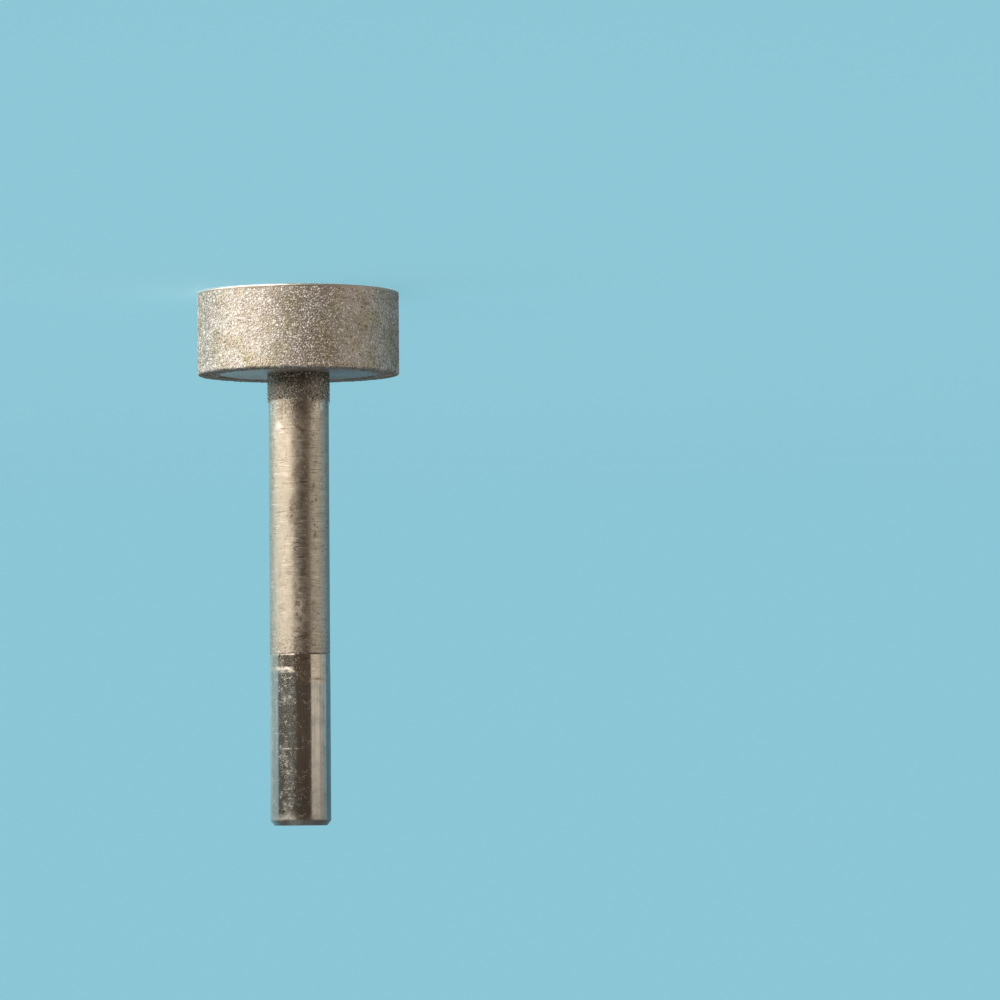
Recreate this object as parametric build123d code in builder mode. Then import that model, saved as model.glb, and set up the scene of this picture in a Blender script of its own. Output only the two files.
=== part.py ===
"""T-shaped diamond grinding wheel: a flat round head on a straight shank.

The blank is one piece of steel, turned from bar. A single layer of diamond grit, held by plated nickel,
covers the front face and the rim of its head, and laps over the back face as a ring. A washer masked the
rest of the back face, which stays smooth. Grit that lay above the washer caught the foot of the shank as
a short collar. The nickel runs on along the shank and ends above its bare ground tail, which is the
part that a collet grips. The tail is ground after turning, so the turned and plated stretch is a little
thinner, and a short taper joins the two.

The wheel stands on its front face. The origin is the centre of that face, and +Z runs along the axis to
the shank's tail. Millimetres.
"""

import os

from build123d import *

# Head of the steel blank
head_diameter = 19.74
head_width = 8.0
head_edge_break = 0.1

# Layer of diamond grit in nickel
grit_thickness = 0.13
grit_corner_radius = 0.2
ring_lap = 2.02
ring_edge_slope = 0.05

# Shank: the nickel-plated stretch, then the ground tail
shank_length = 44.7
plated_diameter = 5.96
tail_diameter = 6.0
tail_length = 15.0
tail_lead_in = 0.6
tail_chamfer_length = 0.5
tail_chamfer_depth = 0.4
root_radius = 0.1

# Line scored round the shank, where the plating holder closed on it
score_to_plated_end = 1.3
score_width = 0.16
score_depth = 0.05

# Collar of stray grit at the foot of the shank
collar_length = 2.8
collar_edge_radius = 0.1

# Radii and heights that follow from the sizes above
head_radius = head_diameter / 2
plated_radius = plated_diameter / 2
tail_radius = tail_diameter / 2
wheel_radius = head_radius + grit_thickness
collar_radius = plated_radius + grit_thickness
ring_inner_radius = head_radius - ring_lap

head_front = grit_thickness
head_back = head_front + head_width
wheel_back = head_back + grit_thickness
shank_end = head_back + shank_length
tail_start = shank_end - tail_length
plated_end = tail_start - tail_lead_in
score_height = plated_end - score_to_plated_end
collar_end = head_back + collar_length


def circles(part, radius, height):
    """The round edges of that radius and height."""
    rings = part.edges().filter_by(GeomType.CIRCLE).filter_by_position(Axis.Z, height, height)
    return rings.filter_by(lambda ring: abs(ring.radius - radius) < 1e-6)


# Blank: half its section, turned about the axis
with BuildPart() as steel_blank:
    with BuildSketch(Plane.XZ):
        with BuildLine():
            Polyline(
                (0, head_front),
                (head_radius, head_front),
                (head_radius, head_back),
                (plated_radius, head_back),
                (plated_radius, plated_end),
                (tail_radius, tail_start),
                (tail_radius, shank_end),
                (0, shank_end),
                close=True,
            )
        make_face()
    revolve(axis=Axis.Z)

    head_edges = circles(steel_blank, head_radius, head_front) + circles(steel_blank, head_radius, head_back)
    chamfer(head_edges, head_edge_break)
    fillet(circles(steel_blank, plated_radius, head_back), root_radius)

    tail_edge = circles(steel_blank, tail_radius, shank_end)
    tail_face = steel_blank.faces().sort_by(Axis.Z)[-1]
    chamfer(tail_edge, tail_chamfer_depth, tail_chamfer_length, reference=tail_face)

    # Scored line, cut in by a pointed tool
    with BuildSketch(Plane.XZ):
        with BuildLine():
            Polyline(
                (plated_radius - score_depth, score_height),
                (plated_radius + score_depth, score_height - score_width),
                (plated_radius + score_depth, score_height + score_width),
                close=True,
            )
        make_face()
    revolve(axis=Axis.Z, mode=Mode.SUBTRACT)

# Grit layer on the head: the finished wheel, less the blank and the masked part of its back face
with BuildPart() as diamond_layer:
    with BuildSketch(Plane.XZ):
        with BuildLine():
            Polyline(
                (0, 0),
                (wheel_radius, 0),
                (wheel_radius, wheel_back),
                (ring_inner_radius + ring_edge_slope, wheel_back),
                (ring_inner_radius, head_back),
                (0, head_back),
                close=True,
            )
        make_face()
    revolve(axis=Axis.Z)
    corners = circles(diamond_layer, wheel_radius, 0) + circles(diamond_layer, wheel_radius, wheel_back)
    fillet(corners, grit_corner_radius)
    add(steel_blank.part, mode=Mode.SUBTRACT)

# Grit collar, seated on the back face and round the shank
with BuildPart() as grit_collar:
    with BuildSketch(Plane.XY.offset(head_back)):
        Circle(collar_radius)
    extrude(amount=collar_length)
    fillet(circles(grit_collar, collar_radius, collar_end), collar_edge_radius)
    add(steel_blank.part, mode=Mode.SUBTRACT)

os.makedirs("parts", exist_ok=True)

steel_blank.part.label = "steel_blank"
export_step(steel_blank.part, "parts/steel_blank.step")

diamond_layer.part.label = "diamond_layer"
export_step(diamond_layer.part, "parts/diamond_layer.step")

grit_collar.part.label = "grit_collar"
export_step(grit_collar.part, "parts/grit_collar.step")
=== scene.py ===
# %% [markdown]
# A T-shaped diamond grinding wheel: a round head coated with diamond grit, on a straight steel shank.
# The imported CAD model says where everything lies. This lesson dresses it: the blank is turned again with
# a finer skin, and the coat becomes what it is, thousands of small crystals standing in plated nickel.

import math
from types import SimpleNamespace

import bmesh
import bpy
import numpy as np
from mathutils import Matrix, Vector, noise


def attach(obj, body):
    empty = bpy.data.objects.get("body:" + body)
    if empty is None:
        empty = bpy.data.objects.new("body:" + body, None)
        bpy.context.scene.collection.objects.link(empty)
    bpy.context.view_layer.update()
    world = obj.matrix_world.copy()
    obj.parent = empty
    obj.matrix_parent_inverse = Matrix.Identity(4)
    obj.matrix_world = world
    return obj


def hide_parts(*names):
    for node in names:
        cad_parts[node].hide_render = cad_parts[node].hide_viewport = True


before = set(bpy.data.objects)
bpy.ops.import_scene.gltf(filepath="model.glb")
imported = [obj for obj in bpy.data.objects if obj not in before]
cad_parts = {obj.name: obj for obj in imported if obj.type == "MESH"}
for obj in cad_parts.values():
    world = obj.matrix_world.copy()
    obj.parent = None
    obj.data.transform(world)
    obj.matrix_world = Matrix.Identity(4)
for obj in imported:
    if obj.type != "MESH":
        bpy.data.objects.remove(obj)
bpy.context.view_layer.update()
MM = 0.001

# %% [markdown]
# Every size is in millimetres, as a turner reads it off the drawing, and is turned to metres where a mesh
# is made. The wheel stands on its front face at height 0, and the shank points up. The first block drives
# the second: the coat is what the head lacks to its full size, and heights follow from lengths.

# %% Sizes
WHEEL_RADIUS = 10.0
WHEEL_BACK = 8.26
CORNER_RADIUS = 0.2
COAT_THICKNESS = 0.13
RING_LAP = 2.02
EDGE_BREAK = 0.1
PLATED_RADIUS = 2.98
TAIL_RADIUS = 3.0
ROOT_RADIUS = 0.1
SHANK_END = 52.83
TAIL_LENGTH = 15.0
TAPER_LENGTH = 0.6
TAPER_TO_SCORE = 1.3
SCORE_HALF_WIDTH = 0.08
SCORE_DEPTH = 0.05
CHAMFER_LENGTH = 0.5
CHAMFER_DEPTH = 0.4
COLLAR_LENGTH = 2.8

HEAD_RADIUS = WHEEL_RADIUS - COAT_THICKNESS
HEAD_BACK = WHEEL_BACK - COAT_THICKNESS
RING_INNER_RADIUS = HEAD_RADIUS - RING_LAP
TAIL_START = SHANK_END - TAIL_LENGTH
PLATED_END = TAIL_START - TAPER_LENGTH
SCORE_HEIGHT = PLATED_END - TAPER_TO_SCORE
COLLAR_RADIUS = PLATED_RADIUS + COAT_THICKNESS
COLLAR_END = HEAD_BACK + COLLAR_LENGTH
print("wheel", 2 * WHEEL_RADIUS, "mm across, overall length", SHANK_END, "mm")

# %% [markdown]
# The camera looks at the part from the side, with the head at the top of the picture. The part stands on
# its head here, so the camera is turned over instead, by half a turn about its own line of sight. Place,
# tilt and lens come from a perspective fit to the silhouette: a long lens at 0.6 m.

# %% Camera
CAMERA_PLACE = (-19.89 * MM, -600.0 * MM, 56.21 * MM)
LOOK_DOWN = 0.05898
LEAN = 0.00733

camera_data = bpy.data.cameras.new("camera")
camera = bpy.data.objects.new("camera", camera_data)
bpy.context.collection.objects.link(camera)
camera_data.sensor_width = 36.0
camera_data.lens = 218.45
camera.location = CAMERA_PLACE
camera.rotation_mode = "ZYX"
camera.rotation_euler = (math.pi / 2 - LOOK_DOWN, 0.0, math.pi - LEAN)
bpy.context.scene.camera = camera
bpy.context.scene.view_settings.view_transform = "Standard"
print("camera at", [round(c / MM) for c in camera.location], "mm, lens", round(camera_data.lens), "mm")

# %% [markdown]
# Finishes come before shapes. A finish is a tree of small nodes. Blender's shader editor lets one draw it
# by hand, but a drawing is hard to read back or to repeat. In a script a few helpers do the same: each adds
# one node, sets or links its inputs, and returns its output, so that a recipe reads as a list of steps. The
# first ones reckon with numbers.


# %% Nodes that reckon
def link(tree, value, socket):
    """Sets a socket to a plain value, or links it to another socket."""
    if isinstance(value, bpy.types.NodeSocket):
        tree.links.new(value, socket)
    else:
        socket.default_value = value


def math_node(tree, operation, first, second=0.0):
    node = tree.nodes.new("ShaderNodeMath")
    node.operation = operation
    for socket, value in zip(node.inputs, (first, second)):
        link(tree, value, socket)
    return node.outputs[0]


def plus(tree, first, second):
    return math_node(tree, "ADD", first, second)


def minus(tree, first, second):
    return math_node(tree, "SUBTRACT", first, second)


def times(tree, first, second):
    return math_node(tree, "MULTIPLY", first, second)


def larger(tree, first, second):
    return math_node(tree, "MAXIMUM", first, second)


# %% [markdown]
# Almost every stain, cloud and speck starts as a noise. A ramp picks a band of it, and a mix uses that to
# go from one value or colour to another. An image could hold the same stains, but a noise stays sharp at
# any distance and costs no memory.


# %% Nodes for noises, ramps and mixes
def noise_node(tree, place, scale, detail=2.0, roughness=0.5, distortion=0.0):
    """Clouds of values about 0.5. The scale is in clouds per unit of the place."""
    node = tree.nodes.new("ShaderNodeTexNoise")
    link(tree, place, node.inputs["Vector"])
    link(tree, scale, node.inputs["Scale"])
    node.inputs["Detail"].default_value = detail
    node.inputs["Roughness"].default_value = roughness
    node.inputs["Distortion"].default_value = distortion
    return node.outputs["Fac"]


def ramp_node(tree, value, low, high, to_low=0.0, to_high=1.0):
    """Maps low..high to to_low..to_high, smoothly and held at its ends."""
    node = tree.nodes.new("ShaderNodeMapRange")
    node.interpolation_type = "SMOOTHSTEP"
    for socket, v in zip(node.inputs, (value, low, high, to_low, to_high)):
        link(tree, v, socket)
    return node.outputs[0]


def mix_value(tree, factor, first, second):
    node = tree.nodes.new("ShaderNodeMix")
    for socket, value in (("Factor", factor), ("A", first), ("B", second)):
        link(tree, value, node.inputs[socket])
    return node.outputs["Result"]


def mix_colour(tree, factor, first, second, blend="MIX"):
    node = tree.nodes.new("ShaderNodeMix")
    node.data_type = "RGBA"
    node.blend_type = blend
    for socket, value in (("Factor", factor), ("A", first), ("B", second)):
        link(tree, value, node.inputs[socket])
    return node.outputs["Result"]


# %% [markdown]
# A noise has to know which point it is asked about. Blender offers several kinds of coordinates. Those of
# the object are used here, since they are in real units and move with the piece.


# %% Nodes for places
def place_node(tree, stretch=(1.0, 1.0, 1.0)):
    """The point on the piece, in metres, with each direction stretched."""
    coordinates = tree.nodes.new("ShaderNodeTexCoord")
    mapping = tree.nodes.new("ShaderNodeMapping")
    mapping.inputs["Scale"].default_value = stretch
    tree.links.new(coordinates.outputs["Object"], mapping.inputs["Vector"])
    return mapping.outputs["Vector"]


def split_node(tree, vector):
    """The X, Y and Z of a vector."""
    node = tree.nodes.new("ShaderNodeSeparateXYZ")
    tree.links.new(vector, node.inputs[0])
    return node.outputs


# %% [markdown]
# An effect that is used in several places is a node group: a small recipe with named inputs and outputs,
# built once and placed with other values each time. One helper makes an empty group with its sockets, and
# another places a group in a material. Rates are given per millimetre, but Blender's unit is the metre, so
# the groups multiply them by a thousand.


# %% Helpers for groups
PER_MM = 1000.0


def new_group(name, inputs, outputs):
    """A shader node group with plain values as inputs and outputs, and its two end nodes."""
    group = bpy.data.node_groups.new(name, "ShaderNodeTree")
    for socket, value in inputs.items():
        made = group.interface.new_socket(socket, in_out="INPUT", socket_type="NodeSocketFloat")
        made.default_value = value
    for socket in outputs:
        group.interface.new_socket(socket, in_out="OUTPUT", socket_type="NodeSocketFloat")
    print("group", name, "takes", list(inputs), "and gives", outputs)
    return group, group.nodes.new("NodeGroupInput").outputs, group.nodes.new("NodeGroupOutput").inputs


def use_group(tree, group, **values):
    """Places a group in a material. Keyword names stand for its inputs, with _ for a space."""
    node = tree.nodes.new("ShaderNodeGroup")
    node.node_tree = group
    for name, value in values.items():
        link(tree, value, node.inputs[name.replace("_", " ")])
    return node.outputs


# %% [markdown]
# Turning leaves fine rings. On the shank they follow each other along the axis, and on the back face they
# spread out from it. Rings could be a wave texture, but real ones are never even. Radius plus height grows
# along both faces, so one recipe serves both: a noise that changes fast along that sum and slowly round
# the part.


# %% Group: turning rings
def make_turning_rings():
    inputs = {"Rings per mm": 8.0, "Wander": 40.0}
    group, given, out = new_group("turning_rings", inputs, ["Height", "Streaks"])
    x, y, z = split_node(group, group.nodes.new("ShaderNodeTexCoord").outputs["Object"])
    radius = math_node(group, "SQRT", plus(group, times(group, x, x), times(group, y, y)))
    joined = group.nodes.new("ShaderNodeCombineXYZ")
    group.links.new(times(group, x, given["Wander"]), joined.inputs["X"])
    group.links.new(times(group, y, given["Wander"]), joined.inputs["Y"])
    rate = times(group, given["Rings per mm"], PER_MM)
    group.links.new(times(group, plus(group, radius, z), rate), joined.inputs["Z"])
    group.links.new(noise_node(group, joined.outputs[0], 1.0, 3.0, 0.6), out["Height"])
    broad = noise_node(group, joined.outputs[0], 0.22)
    group.links.new(ramp_node(group, broad, 0.35, 0.68), out["Streaks"])
    return group


turning_rings = make_turning_rings()

# %% [markdown]
# Specks are where a pit or a stray crumb of nickel sits, and blotches are where the metal has dulled. They
# could be painted on an image, but that needs a flat map of the part and blurs when seen close. Here specks
# are the middles of the cells in a cell texture, thinned out by a noise, so that they crowd in some places
# and leave others clean. The same noise gives the blotches.


# %% Group: specks and blotches
def make_specks():
    inputs = {"Size per mm": 3.0, "Amount": 0.3, "Crowding per mm": 0.35}
    group, given, out = new_group("specks", inputs, ["Mask", "Blotches"])
    place = group.nodes.new("ShaderNodeTexCoord").outputs["Object"]
    cells = group.nodes.new("ShaderNodeTexVoronoi")
    group.links.new(place, cells.inputs["Vector"])
    group.links.new(times(group, given["Size per mm"], PER_MM), cells.inputs["Scale"])
    crowd = noise_node(group, place, times(group, given["Crowding per mm"], PER_MM), 4.0, 0.6)
    reach = times(group, ramp_node(group, crowd, 0.42, 0.7), given["Amount"])
    near = minus(group, reach, cells.outputs["Distance"])
    group.links.new(ramp_node(group, near, -0.06, 0.06), out["Mask"])
    group.links.new(ramp_node(group, crowd, 0.4, 0.7), out["Blotches"])
    return group


specks = make_specks()

# %% [markdown]
# A scratch is a speck drawn out in one direction. Scratches could be drawn one by one, but there are
# hundreds. This group stretches a noise along the axis or round it and keeps only its highest peaks, so
# the marks are short, thin and apart.


# %% Group: scratches
def make_scratches():
    inputs = {"Along per mm": 1.0, "Across per mm": 8.0, "Amount": 0.5}
    group, given, out = new_group("scratches", inputs, ["Mask"])
    point = split_node(group, group.nodes.new("ShaderNodeTexCoord").outputs["Object"])
    joined = group.nodes.new("ShaderNodeCombineXYZ")
    for axis, rate in (("X", "Across per mm"), ("Y", "Across per mm"), ("Z", "Along per mm")):
        scaled = times(group, point[axis], times(group, given[rate], PER_MM))
        group.links.new(scaled, joined.inputs[axis])
    peaks = noise_node(group, joined.outputs[0], 1.0, distortion=0.3)
    least = minus(group, 0.85, times(group, given["Amount"], 0.25))
    group.links.new(ramp_node(group, minus(group, peaks, least), 0.0, 0.05), out["Mask"])
    return group


scratches = make_scratches()

# %% [markdown]
# A material is one main shader with sockets. Numbers that stay the same all over go straight on them, and
# what changes over the surface is linked. Small unevenness is a bump: it bends the light as if the skin
# rose and sank, without more mesh. Some finishes belong to certain places only. The lathe further down
# writes such places on the mesh as marks from 0 to 1, and the material reads them by name.


# %% Helpers for materials
def new_material(name, metallic, roughness, anisotropic=0.0, turn=0.0):
    made = bpy.data.materials.new(name)
    made.use_nodes = True
    shader = made.node_tree.nodes["Principled BSDF"]
    shader.inputs["Metallic"].default_value = metallic
    shader.inputs["Roughness"].default_value = roughness
    shader.inputs["Anisotropic"].default_value = anisotropic
    shader.inputs["Anisotropic Rotation"].default_value = turn
    return made, made.node_tree, shader


def add_bump(tree, shader, height, distance_mm, strength=0.6):
    bump = tree.nodes.new("ShaderNodeBump")
    bump.inputs["Strength"].default_value = strength
    bump.inputs["Distance"].default_value = distance_mm * MM
    tree.links.new(height, bump.inputs["Height"])
    tree.links.new(bump.outputs["Normal"], shader.inputs["Normal"])


def mark_node(tree, name):
    """Reads a mark that the mesh carries."""
    node = tree.nodes.new("ShaderNodeAttribute")
    node.attribute_name = name
    return node.outputs["Fac"]


# %% [markdown]
# The shank's metal changes along its length: satin nickel over turned steel, then nickel over ground
# steel, then bare ground steel. It could be three materials, but they would meet along the edges of faces.
# One material that mixes its finishes by marks lets them meet as raggedly as they do on the real shank.
# Its colour, gloss and relief share a few patterns, so these are made first and kept under one name.


# %% The shank's patterns
def shank_patterns(tree):
    """Noises, groups and marks that say where the skin is ringed, mottled, rubbed, pitted or dull."""
    place = place_node(tree)
    ground = mark_node(tree, "ground")
    wander = minus(tree, noise_node(tree, place, 1500.0, roughness=0.6), 0.5)
    rubbed = ramp_node(tree, math_node(tree, "ABSOLUTE", wander), 0.03, 0.0)
    broken = ramp_node(tree, noise_node(tree, place, 950.0, roughness=0.6), 0.5, 0.6, 0.0, 0.55)
    grain = noise_node(tree, place, 5000.0, 3.0, 0.7)
    clouds = plus(tree, noise_node(tree, place, 2100.0, 3.0, 0.6), times(tree, grain, 0.35))
    return SimpleNamespace(
        place=place, point=split_node(tree, place), ground=ground, grain=grain,
        mottle=noise_node(tree, place, 1400.0, 6.0, 0.65),
        rings=use_group(tree, turning_rings, Rings_per_mm=11.0, Wander=600.0),
        fine=use_group(tree, specks, Size_per_mm=6.0, Amount=0.24, Crowding_per_mm=0.6),
        coarse=use_group(tree, specks, Size_per_mm=2.4, Amount=0.42, Crowding_per_mm=0.9),
        round_marks=use_group(tree, scratches, Along_per_mm=9.0, Across_per_mm=0.9, Amount=0.85)["Mask"],
        rub_marks=times(tree, times(tree, rubbed, broken), ground),
        bead=mark_node(tree, "bead"), smooth=mark_node(tree, "smooth"),
        crumbly=mark_node(tree, "crumbly"),
        dull=times(tree, mark_node(tree, "dull"), ramp_node(tree, clouds, 0.56, 0.76)),
    )


# %% [markdown]
# Nickel is a warm, slightly yellow silver. The bath leaves it mottled, the turned steel below shows as
# fine dark and light lines, the bead along its edge is paler, and the washer that masked the back face
# kept that part clean. Two more colours are painted light and shade: the side towards the warm lamps, at
# −X, is made paler and greyer, and under the washer the colour runs from dark at −X, in the shank's shade,
# to pale at +X, towards the window. One colour would look like paint. So the recipe starts from two shades
# and lays one effect after another over them, each with a colour of its own.

# %% Colour of the nickel
NICKEL_SHADES = (0.51, 0.45, 0.36, 1), (0.725, 0.66, 0.56, 1)
NICKEL_STREAKS = (0.50, 0.44, 0.35, 1)
NICKEL_FAR_FROM_HEAD = (0.50, 0.463, 0.397, 1)
# Painted light: this paler, greyer nickel goes on the side towards the warm lamps, at −X.
NICKEL_PAINTED_LIGHT_SIDE = (0.70, 0.68, 0.62, 1)
DARK_LINES = (0.36, 0.31, 0.25, 1)
LIGHT_LINES = (0.82, 0.78, 0.70, 1)
BEAD_NICKEL = (0.82, 0.78, 0.72, 1)
SMOOTH_NICKEL = (0.93, 0.91, 0.87, 1)
# Painted shade and painted light under the washer: dark at −X, in the shank's shade, pale at +X, towards the
# window.
UNDER_WASHER_PAINTED_LIGHT_AND_SHADE = (0.48, 0.42, 0.37, 1), (0.88, 0.78, 0.68, 1)


def nickel_colour(tree, skin):
    x, _, z = skin.point
    nickel = mix_colour(tree, ramp_node(tree, skin.mottle, 0.3, 0.7), *NICKEL_SHADES)
    nickel = mix_colour(tree, times(tree, skin.rings["Streaks"], 0.5), nickel, NICKEL_STREAKS)
    nickel = mix_colour(tree, ramp_node(tree, z, 0.015, 0.024, 0.0, 0.55), nickel, NICKEL_FAR_FROM_HEAD)
    groups = ramp_node(tree, noise_node(tree, skin.place, 520.0, roughness=0.6), 0.42, 0.62, 0.18, 0.85)
    dark = use_group(tree, scratches, Along_per_mm=7.0, Across_per_mm=0.9, Amount=1.15)["Mask"]
    nickel = mix_colour(tree, times(tree, dark, groups), nickel, DARK_LINES)
    light = use_group(tree, scratches, Along_per_mm=9.0, Across_per_mm=1.1, Amount=1.0)["Mask"]
    nickel = mix_colour(tree, times(tree, light, groups), nickel, LIGHT_LINES)
    # Painted light: the side towards the warm lamps, at −X, is made paler and greyer.
    nickel = mix_colour(tree, ramp_node(tree, x, -0.0006, -0.002, 0.0, 0.24), nickel, NICKEL_PAINTED_LIGHT_SIDE)
    nickel = mix_colour(tree, skin.bead, nickel, BEAD_NICKEL)
    nickel = mix_colour(tree, times(tree, skin.smooth, 0.8), nickel, SMOOTH_NICKEL)
    # Painted light and shade: under the washer the colour runs from dark at −X to pale at +X.
    under_washer_painted_light_and_shade = mix_colour(tree, ramp_node(tree, x, -0.004, 0.004), *UNDER_WASHER_PAINTED_LIGHT_AND_SHADE)
    return mix_colour(tree, mark_node(tree, "masked"), nickel, under_washer_painted_light_and_shade)


print("nickel from", NICKEL_SHADES[0][:3], "to", NICKEL_SHADES[1][:3])

# %% [markdown]
# The tail is bare steel, ground bright and tarnished since: grey-green blotches, brown and pale streaks
# along the axis, and a darker end. The streaks are a plain noise, stretched fifty times along the axis,
# which is simpler than drawing lines. Both stretches then get what lies on top: film, smears and dirt.

# %% Colour of the tail, and of the whole shank
TARNISHED_STEEL = (0.56, 0.55, 0.51, 1), (0.40, 0.43, 0.41, 1)
BROWN_STREAKS = (0.40, 0.33, 0.30, 1)
PALE_STREAKS = (0.72, 0.66, 0.58, 1)
DARK_END = (0.34, 0.33, 0.30, 1)
DULL_FILM = (0.84, 0.76, 0.66, 1)
DIRT = (0.20, 0.15, 0.11, 1)


def tail_colour(tree, skin):
    steel = mix_colour(tree, skin.coarse["Blotches"], *TARNISHED_STEEL)
    streaks = noise_node(tree, place_node(tree, (1.0, 1.0, 0.02)), 5200.0, 3.0, 0.6)
    steel = mix_colour(tree, ramp_node(tree, streaks, 0.5, 0.66, 0.0, 0.5), steel, BROWN_STREAKS)
    steel = mix_colour(tree, ramp_node(tree, streaks, 0.48, 0.36, 0.0, 0.3), steel, PALE_STREAKS)
    return mix_colour(tree, ramp_node(tree, skin.point["Z"], 0.043, 0.051, 0.0, 0.5), steel, DARK_END)


def shank_colour(tree, skin):
    base = mix_colour(tree, mark_node(tree, "bare"), nickel_colour(tree, skin), tail_colour(tree, skin))
    film = times(tree, larger(tree, skin.dull, skin.rub_marks), 0.45)
    base = mix_colour(tree, film, base, DULL_FILM)
    dirt = times(tree, skin.fine["Mask"], mix_value(tree, skin.ground, 0.55, 0.0))
    dirt = larger(tree, dirt, times(tree, skin.crumbly, ramp_node(tree, skin.grain, 0.46, 0.58, 0.0, 0.5)))
    patchy = ramp_node(tree, plus(tree, skin.mottle, skin.grain), 0.75, 1.1)
    dirt = larger(tree, dirt, times(tree, mark_node(tree, "smear"), patchy))
    return mix_colour(tree, dirt, base, DIRT)


print("tail from", TARNISHED_STEEL[0][:3], "to", TARNISHED_STEEL[1][:3])

# %% [markdown]
# Gloss says most about how metal was worked. A turned skin is satin and a ground one nearly a mirror, and
# every pit, line, film or worn edge scatters the light a little more. So the patterns of the colour are
# used once more here, which makes them agree. Film and bead also look less like metal, so they lower the
# Metallic value.


# %% Gloss of the shank
TURNED_ROUGHNESS = 0.33, 0.50
GROUND_ROUGHNESS = 0.14, 0.20
SMOOTH_ROUGHNESS = 0.2


def shank_roughness(tree, skin):
    fine, coarse, ground = skin.fine, skin.coarse, skin.ground
    turned = ramp_node(tree, skin.rings["Height"], 0.3, 0.7, *TURNED_ROUGHNESS)
    turned = plus(tree, turned, ramp_node(tree, skin.mottle, 0.3, 0.7, -0.07, 0.08))
    polished = ramp_node(tree, coarse["Blotches"], 0.0, 1.0, *GROUND_ROUGHNESS)
    long_marks = use_group(tree, scratches, Along_per_mm=0.35, Across_per_mm=5.0, Amount=0.72)["Mask"]
    fewer = mix_value(tree, ground, 1.0, ramp_node(tree, coarse["Blotches"], 0.1, 0.8, 0.25, 1.0))
    lines = times(tree, larger(tree, skin.round_marks, long_marks), fewer)
    pits = larger(tree, coarse["Mask"], times(tree, fine["Mask"], mix_value(tree, ground, 1.0, 0.1)))
    marks = times(tree, larger(tree, pits, lines), mix_value(tree, ground, 0.24, 0.115))
    rough = plus(tree, mix_value(tree, ground, turned, polished), marks)
    rough = mix_value(tree, times(tree, skin.smooth, 0.85), rough, SMOOTH_ROUGHNESS)
    extra = plus(tree, times(tree, mark_node(tree, "worn"), 0.22), times(tree, skin.bead, 0.35))
    film = times(tree, larger(tree, skin.dull, skin.rub_marks), 0.26)
    return plus(tree, rough, plus(tree, extra, film))


def shank_metallic(tree, skin):
    lost = larger(tree, times(tree, skin.rub_marks, 0.55), times(tree, skin.bead, 0.7))
    return minus(tree, 1.0, lost)


print("roughness of the turned skin", TURNED_ROUGHNESS, "and of the ground skin", GROUND_ROUGHNESS)

# %% [markdown]
# The relief is only micrometres high: the rings of the tool and broad waves on the turned stretch, next to
# nothing on the ground one, pits everywhere, and crumbs where the nickel grew rough. A mesh that fine would
# need millions of faces, so all of it is one bump.


# %% Relief of the shank, and its material
RELIEF_MM = 0.0025


def shank_relief(tree, skin):
    waves = times(tree, noise_node(tree, skin.place, 450.0, 3.0), 4.5)
    lathe = plus(tree, times(tree, skin.rings["Height"], 2.2), waves)
    lathe = minus(tree, lathe, times(tree, skin.round_marks, 1.2))
    height = times(tree, lathe, mix_value(tree, skin.ground, 1.0, 0.04))
    height = minus(tree, height, times(tree, skin.coarse["Mask"], 0.2))
    return plus(tree, height, times(tree, times(tree, skin.crumbly, skin.grain), 11.0))


def make_shank_metal():
    made, tree, shader = new_material("shank_metal", 1.0, 0.3, anisotropic=0.4, turn=0.25)
    skin = shank_patterns(tree)
    tree.links.new(shank_colour(tree, skin), shader.inputs["Base Color"])
    tree.links.new(shank_metallic(tree, skin), shader.inputs["Metallic"])
    tree.links.new(shank_roughness(tree, skin), shader.inputs["Roughness"])
    add_bump(tree, shader, shank_relief(tree, skin), RELIEF_MM)
    print("shank_metal has", len(tree.nodes), "nodes")
    return made


shank_metal = make_shank_metal()

# %% [markdown]
# The coat is two materials. Nickel fills the space between the crystals, dull and finely knobbly from the
# bath. A plain metal would do there, but the nickel also shows by itself: worn pale on the front corner,
# with a painted highlight on the side towards the lamps, clean at the collar's end, lightly stained on the
# collar, and dark with painted shade on the back ring and at the collar's foot under the head. Three marks
# tell it where.

# %% Material: bond
BOND_SHADES = (0.58, 0.53, 0.46, 1), (0.44, 0.40, 0.34, 1)
CLEAN_BOND = (0.66, 0.60, 0.51, 1)
# Worn nickel, with a painted highlight where the corner faces the lamps.
WORN_BOND_AND_HIGHLIGHT = (0.95, 0.95, 0.92, 1)
# Stain on the collar, and painted shade on the back ring and under the head.
STAINED_AND_SHADED_BOND = (0.18, 0.145, 0.11, 1)


def make_bond_nickel():
    made, tree, shader = new_material("bond_nickel", 1.0, 0.5)
    worn = mark_node(tree, "worn")
    marks = use_group(tree, specks, Size_per_mm=6.0, Amount=0.4, Crowding_per_mm=0.3)
    base = mix_colour(tree, marks["Blotches"], *BOND_SHADES)
    base = mix_colour(tree, mark_node(tree, "clean"), base, CLEAN_BOND)
    # Painted highlight: the worn colour is strongest on the side towards the lamps.
    base = mix_colour(tree, worn, base, WORN_BOND_AND_HIGHLIGHT)
    # Painted shade: this colour darkens the back ring and the collar's foot under the head, over a light
    # stain on the collar.
    base = mix_colour(tree, mark_node(tree, "stain_and_shade"), base, STAINED_AND_SHADED_BOND)
    tree.links.new(base, shader.inputs["Base Color"])
    tree.links.new(mix_value(tree, worn, 0.5, 0.4), shader.inputs["Roughness"])
    knobs = noise_node(tree, place_node(tree), 14000.0, 3.0, 0.6)
    add_bump(tree, shader, knobs, 0.01)
    return made


bond_nickel = make_bond_nickel()
print("bond_nickel has", len(bond_nickel.node_tree.nodes), "nodes")

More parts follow.
